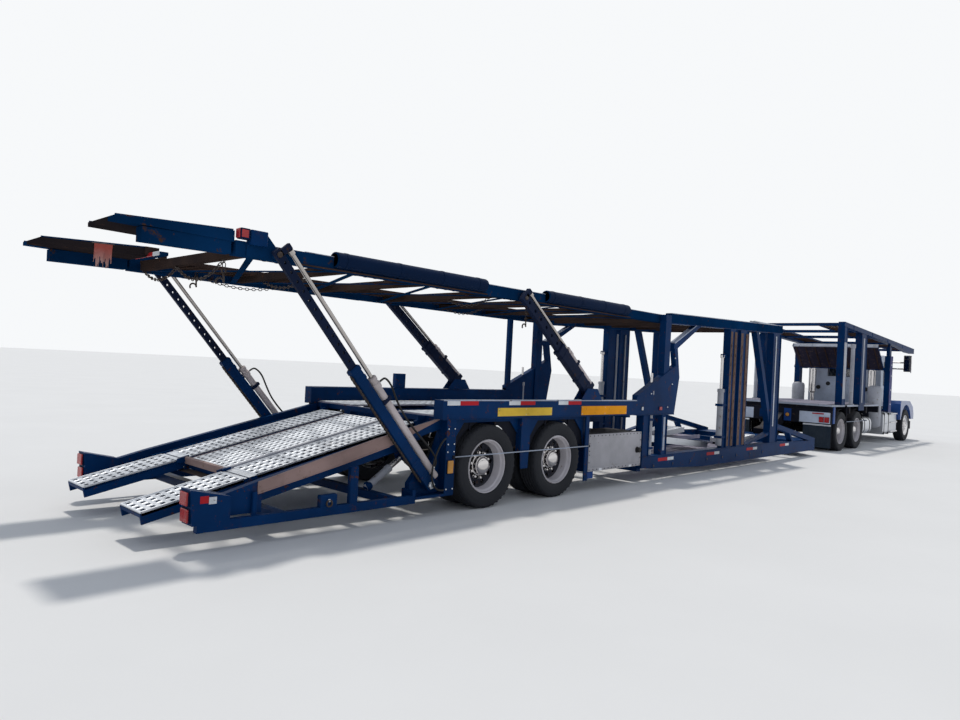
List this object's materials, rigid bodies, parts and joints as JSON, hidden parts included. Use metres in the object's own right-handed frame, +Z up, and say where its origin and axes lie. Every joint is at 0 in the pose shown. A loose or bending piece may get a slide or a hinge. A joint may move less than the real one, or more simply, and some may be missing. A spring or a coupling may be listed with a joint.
{
  "type": "car transporter truck",
  "caption": "Articulated car transporter: day-cab tractor with a head rack, hinged to a two-deck trailer with lifting tail deck, ramp and twin wheels",
  "frame": {"origin": "on the ground under the middle of the vehicle's length and width, mirrors and open flaps as parked", "axes": "+X forward along the vehicle, +Y to its left, +Z up"},
  "size_m": [23.46, 3.08, 3.08],
  "materials": {
    "frame_blue": "worn dark blue gloss paint with rusty edges",
    "deck_rust": "brown worn steel",
    "box_grey": "pale grey satin",
    "axle_dark": "dark, dusty",
    "arm_dark": "dark worn paint",
    "barrel_tan": "faded tan paint",
    "rod_chrome": "polished",
    "chassis_black": "satin dark paint",
    "engine_iron": "rough",
    "cab_paint": "pale gloss paint",
    "glass": "tinted",
    "interior_grey": "grained",
    "tank_steel": "dull",
    "tyre": "dusty rubber",
    "rim_metal": "polished, a little dull"
  },
  "bodies": {
    "trailer": {"lower_frame": "frame_blue", "lower_runways": "deck_rust", "rear_frame": "frame_blue", "deck_posts": "frame_blue", "tail_rails": "frame_blue", "side_frames": "frame_blue", "upper_deck": "frame_blue", "trailer_axles": "axle_dark", "toolbox": "box_grey"},
    "tractor": {"tractor_frame": "chassis_black", "tractor_axles": "axle_dark", "engine": "engine_iron", "cab_shell": "cab_paint", "cab_glass": "glass", "cab_interior": "interior_grey", "tanks_steps": "tank_steel", "head_posts": "frame_blue"},
    "tail_deck": {"tail_deck": "frame_blue"},
    "flipper_right": {"flipper_right": "deck_rust"},
    "flipper_left": {"flipper_left": "deck_rust"},
    "tail_arms": {"tail_arm_tubes": "arm_dark"},
    "tail_arm_tops": {"tail_arm_inners": "arm_dark"},
    "mid_arms": {"mid_arm_tubes": "arm_dark"},
    "mid_arm_tops": {"mid_arm_inners": "arm_dark"},
    "ramp": {"ramp_deck": "deck_rust"},
    "ramp_tips": {"ramp_tips": "deck_rust"},
    "ramp_cylinders": {"ramp_lift_barrels": "barrel_tan"},
    "ramp_cylinder_rods": {"ramp_lift_rods": "rod_chrome"},
    "toolbox_door": {"toolbox_door": "box_grey"},
    "knuckle_right": {"knuckle_right": "axle_dark"},
    "knuckle_left": {"knuckle_left": "axle_dark"},
    "door_right": {"door_right": "cab_paint", "door_glass_right": "glass"},
    "door_left": {"door_left": "cab_paint", "door_glass_left": "glass"},
    "hood": {"hood": "cab_paint"},
    "head_deck": {"head_deck": "frame_blue"},
    "head_post_tops": {"head_post_inners": "frame_blue"},
    "wheels_t1_right": {"tyres_t1_right": "tyre", "rims_t1_right": "rim_metal"},
    "wheels_t1_left": {"tyres_t1_left": "tyre", "rims_t1_left": "rim_metal"},
    "wheels_t2_right": {"tyres_t2_right": "tyre", "rims_t2_right": "rim_metal"},
    "wheels_t2_left": {"tyres_t2_left": "tyre", "rims_t2_left": "rim_metal"},
    "wheels_d1_right": {"tyres_d1_right": "tyre", "rims_d1_right": "rim_metal"},
    "wheels_d1_left": {"tyres_d1_left": "tyre", "rims_d1_left": "rim_metal"},
    "wheels_d2_right": {"tyres_d2_right": "tyre", "rims_d2_right": "rim_metal"},
    "wheels_d2_left": {"tyres_d2_left": "tyre", "rims_d2_left": "rim_metal"},
    "steer_wheel_right": {"tyre_steer_right": "tyre", "rim_steer_right": "rim_metal"},
    "steer_wheel_left": {"tyre_steer_left": "tyre", "rim_steer_left": "rim_metal"}
  },
  "joints": [
    {"name": "tractor_yaw", "type": "hinge", "parent": "trailer", "child": "tractor", "pos_m": [3.15, 0, 0.33], "axis": [0, 0, 1], "range_deg": [-45, 45]},
    {"name": "tail_deck_tilt", "type": "hinge", "parent": "trailer", "child": "tail_deck", "pos_m": [-3.86, 0, 2.45], "axis": [0, 1, 0], "range_deg": [-11, 0]},
    {"name": "tail_arm_lean", "type": "hinge", "parent": "trailer", "child": "tail_arms", "pos_m": [-8.6, 0, 0.33], "axis": [0, 1, 0], "range_deg": [-30, 0]},
    {"name": "tail_arm_reach", "type": "slide", "parent": "tail_arms", "child": "tail_arm_tops", "axis": [-0.6628, 0, 0.7488], "range_m": [-1, 0]},
    {"name": "mid_arm_lean", "type": "hinge", "parent": "trailer", "child": "mid_arms", "pos_m": [-5.8, 0, 1.3], "axis": [0, 1, 0], "range_deg": [-25, 0]},
    {"name": "mid_arm_reach", "type": "slide", "parent": "mid_arms", "child": "mid_arm_tops", "axis": [-0.7863, 0, 0.6178], "range_m": [-0.5, 0]},
    {"name": "flipper_right_tilt", "type": "hinge", "parent": "tail_deck", "child": "flipper_right", "pos_m": [-10.815, -0.9, 2.54], "axis": [0, 1, 0], "range_deg": [0, 90]},
    {"name": "flipper_left_tilt", "type": "hinge", "parent": "tail_deck", "child": "flipper_left", "pos_m": [-10.815, 0.9, 2.54], "axis": [0, 1, 0], "range_deg": [0, 90]},
    {"name": "ramp_tilt", "type": "hinge", "parent": "trailer", "child": "ramp", "pos_m": [-8.47, 0, 0.93], "axis": [0, 1, 0], "range_deg": [0, 13]},
    {"name": "ramp_tips_fold", "type": "hinge", "parent": "ramp", "child": "ramp_tips", "pos_m": [-10.41237, 0, 0.49696], "axis": [0, 1, 0], "range_deg": [0, 175]},
    {"name": "ramp_cylinder_lean", "type": "hinge", "parent": "trailer", "child": "ramp_cylinders", "pos_m": [-9.03, 0, 0.286], "axis": [0, 1, 0], "range_deg": [-12, 1]},
    {"name": "ramp_cylinder_reach", "type": "slide", "parent": "ramp_cylinders", "child": "ramp_cylinder_rods", "axis": [0.8433, 0, 0.5374], "range_m": [-0.06, 0.001]},
    {"name": "toolbox_door_swing", "type": "hinge", "parent": "trailer", "child": "toolbox_door", "pos_m": [-5.247, -1.2623, 0.262], "axis": [1, 0, 0], "range_deg": [0, 90]},
    {"name": "steer_right", "type": "hinge", "parent": "tractor", "child": "knuckle_right", "pos_m": [10.74, -0.94, 0.465], "axis": [0, 0, 1], "range_deg": [-35, 35]},
    {"name": "steer_left", "type": "hinge", "parent": "tractor", "child": "knuckle_left", "pos_m": [10.74, 0.94, 0.465], "axis": [0, 0, 1], "range_deg": [-35, 35]},
    {"name": "door_right_swing", "type": "hinge", "parent": "tractor", "child": "door_right", "pos_m": [10.05, -0.9933, 1.7], "axis": [0, 0, 1], "range_deg": [0, 70]},
    {"name": "door_left_swing", "type": "hinge", "parent": "tractor", "child": "door_left", "pos_m": [10.05, 0.9933, 1.7], "axis": [0, 0, -1], "range_deg": [0, 70]},
    {"name": "hood_tilt", "type": "hinge", "parent": "tractor", "child": "hood", "pos_m": [11.64, 0, 0.6], "axis": [0, 1, 0], "range_deg": [0, 60]},
    {"name": "head_deck_tilt", "type": "hinge", "parent": "tractor", "child": "head_deck", "pos_m": [4.54, 0, 2.97], "axis": [0, -1, 0], "range_deg": [0, 6]},
    {"name": "head_post_reach", "type": "slide", "parent": "tractor", "child": "head_post_tops", "axis": [0, 0, 1], "range_m": [0, 0.46]},
    {"name": "spin_t1_right", "type": "hinge", "parent": "trailer", "child": "wheels_t1_right", "pos_m": [-7.75, -1.0175, 0.465], "axis": [0, 1, 0], "continuous": true},
    {"name": "spin_t1_left", "type": "hinge", "parent": "trailer", "child": "wheels_t1_left", "pos_m": [-7.75, 1.0175, 0.465], "axis": [0, 1, 0], "continuous": true},
    {"name": "spin_t2_right", "type": "hinge", "parent": "trailer", "child": "wheels_t2_right", "pos_m": [-6.48, -1.0175, 0.465], "axis": [0, 1, 0], "continuous": true},
    {"name": "spin_t2_left", "type": "hinge", "parent": "trailer", "child": "wheels_t2_left", "pos_m": [-6.48, 1.0175, 0.465], "axis": [0, 1, 0], "continuous": true},
    {"name": "spin_d1_right", "type": "hinge", "parent": "tractor", "child": "wheels_d1_right", "pos_m": [4.64, -1.0175, 0.465], "axis": [0, 1, 0], "continuous": true},
    {"name": "spin_d1_left", "type": "hinge", "parent": "tractor", "child": "wheels_d1_left", "pos_m": [4.64, 1.0175, 0.465], "axis": [0, 1, 0], "continuous": true},
    {"name": "spin_d2_right", "type": "hinge", "parent": "tractor", "child": "wheels_d2_right", "pos_m": [5.9, -1.0175, 0.465], "axis": [0, 1, 0], "continuous": true},
    {"name": "spin_d2_left", "type": "hinge", "parent": "tractor", "child": "wheels_d2_left", "pos_m": [5.9, 1.0175, 0.465], "axis": [0, 1, 0], "continuous": true},
    {"name": "spin_steer_right", "type": "hinge", "parent": "knuckle_right", "child": "steer_wheel_right", "pos_m": [10.74, -1.1625, 0.465], "axis": [0, 1, 0], "continuous": true},
    {"name": "spin_steer_left", "type": "hinge", "parent": "knuckle_left", "child": "steer_wheel_left", "pos_m": [10.74, 1.1625, 0.465], "axis": [0, 1, 0], "continuous": true}
  ],
  "couplings": [
    {"joint": "tail_arm_lean", "follows": "tail_deck_tilt", "ratio": 2.0621},
    {"joint": "tail_arm_reach", "follows": "tail_deck_tilt", "m_per_rad": 4.5687},
    {"joint": "mid_arm_lean", "follows": "tail_deck_tilt", "ratio": 1.7207},
    {"joint": "mid_arm_reach", "follows": "tail_deck_tilt", "m_per_rad": 1.9419},
    {"joint": "ramp_cylinder_lean", "follows": "ramp_tilt", "ratio": -0.71286},
    {"joint": "ramp_cylinder_reach", "follows": "ramp_tilt", "m_per_rad": -0.17825},
    {"joint": "head_post_reach", "follows": "head_deck_tilt", "m_per_rad": 4.2822},
    {"joint": "steer_left", "follows": "steer_right", "ratio": 1}
  ]
}
